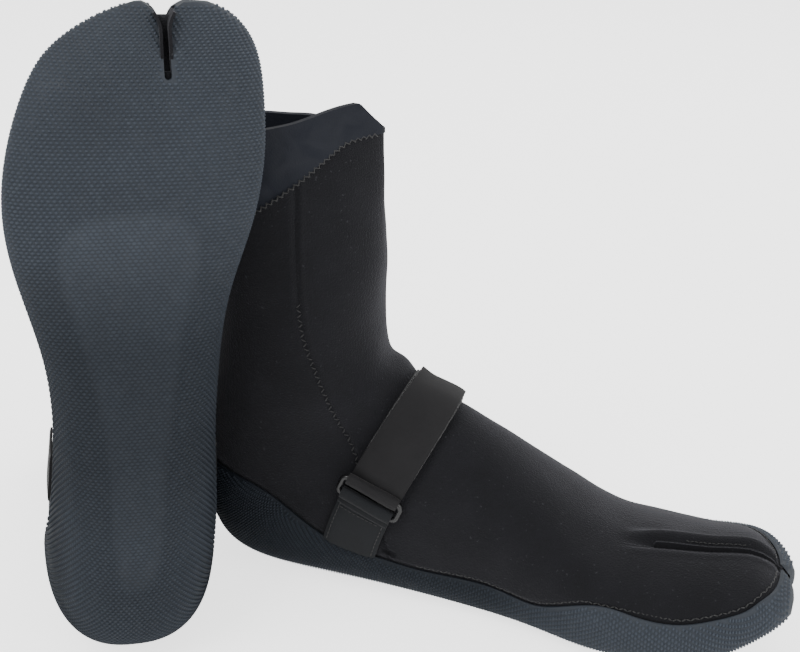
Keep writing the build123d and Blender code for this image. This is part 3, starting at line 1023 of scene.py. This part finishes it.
def at_rubber(p):
    return rubber_z(p[..., 0]) + 0.5 - p[..., 2]


def from_rubber(p):
    return p[..., 2] - rubber_z(p[..., 0]) - 0.5


def hook_lift(along, edge):
    return 2.0 * smooth(along, 0.45, 0.9)


def fold_lift(along, edge):
    return -0.9 * (1 - smooth(along, 0.0, 0.2))


def end_lift(along, edge):
    crest = 2.6 * smooth(along, 0.45, 0.85)
    return crest + 0.35 * np.sin(along * 5.0) * edge - 1.5 * (1 - smooth(along, 0.0, 0.10))


strap_under, _ = band("strap_under", WEBBING_LOOK, UNDER, WEBBING, at_height(12.8), at_rubber, 150)
anchor, _ = band("strap_anchor", WEBBING_LOOK, LOOP, WEBBING, below_height(-8.0), at_rubber, 40, OUTER_SIDE)
loop_patch, _ = band("loop_patch", PILE_LOOK, LOOP, PILE, at_height(24.0), at_y(12.0), 50)
hook_patch, _ = band("hook_patch", PILE_LOOK, HOOK, PILE, at_height(26.0), at_y(7.0), 50, lift=hook_lift)
strap_end, _ = band("strap_end", WEBBING_LOOK, END, WEBBING, at_height(10.6), at_y(9.0), 90, lift=end_lift)
tab, tab_grid = band("ring_tab", TAB_LOOK, UNDER, 2 * WEBBING, from_rubber, at_height(-1.2), 50)
fold, _ = band("fold", TAB_LOOK, UNDER + 2 * WEBBING - 0.2, 1.2, at_height(-7.0), at_height(-0.6), 20,
               lift=fold_lift)
roll = sleeve("roll", BAR_LOW + RING_PITCH * UP, WEBBING_LOOK, -0.22)
tab_roll = sleeve("roll", BAR_LOW, TAB_LOOK, 0.38)
both("strap_under", strap_under, "foot", ("strap_under",))
both("strap_anchor", anchor, "foot", ("strap_anchor",))
both("loop_patch", loop_patch, "foot", ("loop_patch",))
both("hook_patch", hook_patch, "strap", ("hook_patch",))
both("strap_end", joined("strap_end", [strap_end, roll]), "strap", ("strap_end",))
both("ring_tab", joined("ring_tab", [tab, fold, tab_roll]), "foot", ("ring_tab",))
for side in ("left", "right"):
    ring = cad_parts[f"{side}_ring"]
    ring.data.materials.clear()
    ring.data.materials.append(RING_LOOK)
    ring.data.polygons.foreach_set("use_smooth", [True] * len(ring.data.polygons))

# ------------------------------------------------------------------ sewing

def runs_of(keep):
    """Index runs of a mask, without the short ones."""
    kept = np.nonzero(keep)[0]
    runs = np.split(kept, np.nonzero(np.diff(kept) > 1)[0] + 1)
    return [run for run in runs if len(run) > 20]


path, normal = line_on_surface(np.linspace(0.02, 2 * math.pi - 0.02, 900), above_collar_seam, 0.7)
keep = above_top(path) < -5
both("collar_stitch", joined("collar_stitch", [
    stitches(path[r], normal[r], THREAD_LOOK, 1.5, 3.2, 0.24, 0.75, 0.02) for r in runs_of(keep)
]), "shaft")

seam_t = np.linspace(2.2, 6.9, 700)
side_rows = []
for sign in (1, -1):
    a = sign * np.interp(seam_t, SEAM_T, SEAM_A)
    p, n = surface(seam_t, a), form_normals(seam_t, a)
    keep = (above_collar_seam(p) < -2) & (above_rubber(p) > 2)
    side_rows.append(stitches((p + 0.1 * n)[keep], n[keep], THREAD_LOOK, 2.6, 2.3, 0.24, 0.9))
both("side_stitch", joined("side_stitch", side_rows), "shaft", bend=True)

path, normal = line_on_surface(
    np.linspace(-math.pi + 0.02, math.pi - 0.02, 3000), lambda p: above_rubber(p, -1.7), 0.15)
keep = (path[:, 0] > 60) & (np.abs(path[:, 1] - SLIT_Y) > 4)
both("edge_stitch", joined("edge_stitch", [
    stitches(path[r], normal[r], SEAM_THREAD_LOOK, 2.1, 1.9, 0.24, 0.42, 0.0) for r in runs_of(keep)
]), "foot")

lip = np.c_[lip_line + lip_side * 2.6, lip_top + 0.9]
use = (lip_line[:, 0] < 284) & (lip_line[:, 0] > 246) & (lip_line[:, 1] > SLIT_Y)
lip_normal = np.c_[-lip_side * 0.4, np.ones(len(lip_side))]
lip_stitch = stitches(lip[use], lip_normal[use], THREAD_LOOK, 2.0, 1.7, 0.20, 0.3, -0.05)
both("lip_stitch", lip_stitch, "foot")

tab_n = np.cross(np.gradient(tab_grid, axis=0), np.gradient(tab_grid, axis=1))
tab_n /= np.maximum(np.linalg.norm(tab_n, axis=-1, keepdims=True), 1e-9)
if np.mean(tab_n[..., 1]) > 0:
    tab_n = -tab_n
TAB_ROWS = [(1, slice(2, 42)), (13, slice(2, 42)), (slice(1, 14), 36)]
both("tab_stitch", joined("tab_stitch", [
    stitches(tab_grid[row], tab_n[row], THREAD_LOOK, 2.4, 1.9, 0.22) for row in TAB_ROWS
]), "foot")

# ------------------------------------------------------------------ floor, light and camera

bpy.ops.mesh.primitive_plane_add(size=6, location=(0.1, 0.4, -0.0006))
ground = bpy.context.object
ground.name = "ground"
ground.data.materials.append(pale_floor(Look("pale_floor")))

world = bpy.data.worlds.new("soft") if bpy.context.scene.world is None else bpy.context.scene.world
bpy.context.scene.world = world
world.use_nodes = True
world.node_tree.nodes["Background"].inputs["Color"].default_value = (1, 1, 1, 1)
world.node_tree.nodes["Background"].inputs["Strength"].default_value = 1.0


def lamp(name, at, toward, size, power):
    data = bpy.data.lights.new(name, "AREA")
    data.size, data.energy = size, power
    obj = bpy.data.objects.new(name, data)
    obj.location = at
    obj.rotation_euler = (Vector(toward) - Vector(at)).to_track_quat("-Z", "Y").to_euler()
    bpy.context.scene.collection.objects.link(obj)


MIDDLE = (-0.02, -0.02, 0.12)
lamp("key", (-0.5, -0.9, 1.5), MIDDLE, 0.9, 14)
lamp("fill", (1.2, -0.7, 0.8), MIDDLE, 1.2, 8)
lamp("rim", (0.3, 1.1, 1.3), MIDDLE, 1.0, 10)

camera = bpy.data.objects.new("camera", bpy.data.cameras.new("camera"))
bpy.context.scene.collection.objects.link(camera)
camera.data.lens = 58.6
camera.data.sensor_width = 36.0
yaw, pitch, roll = (math.radians(d) for d in (18.3, -24.7, -1.4))
camera.matrix_world = (
    Matrix.Translation((0.1665, -0.5483, 0.405))
    @ Matrix.Rotation(yaw, 4, "Z")
    @ Matrix.Rotation(math.pi / 2 + pitch, 4, "X")
    @ Matrix.Rotation(roll, 4, "Z")
)
bpy.context.scene.camera = camera
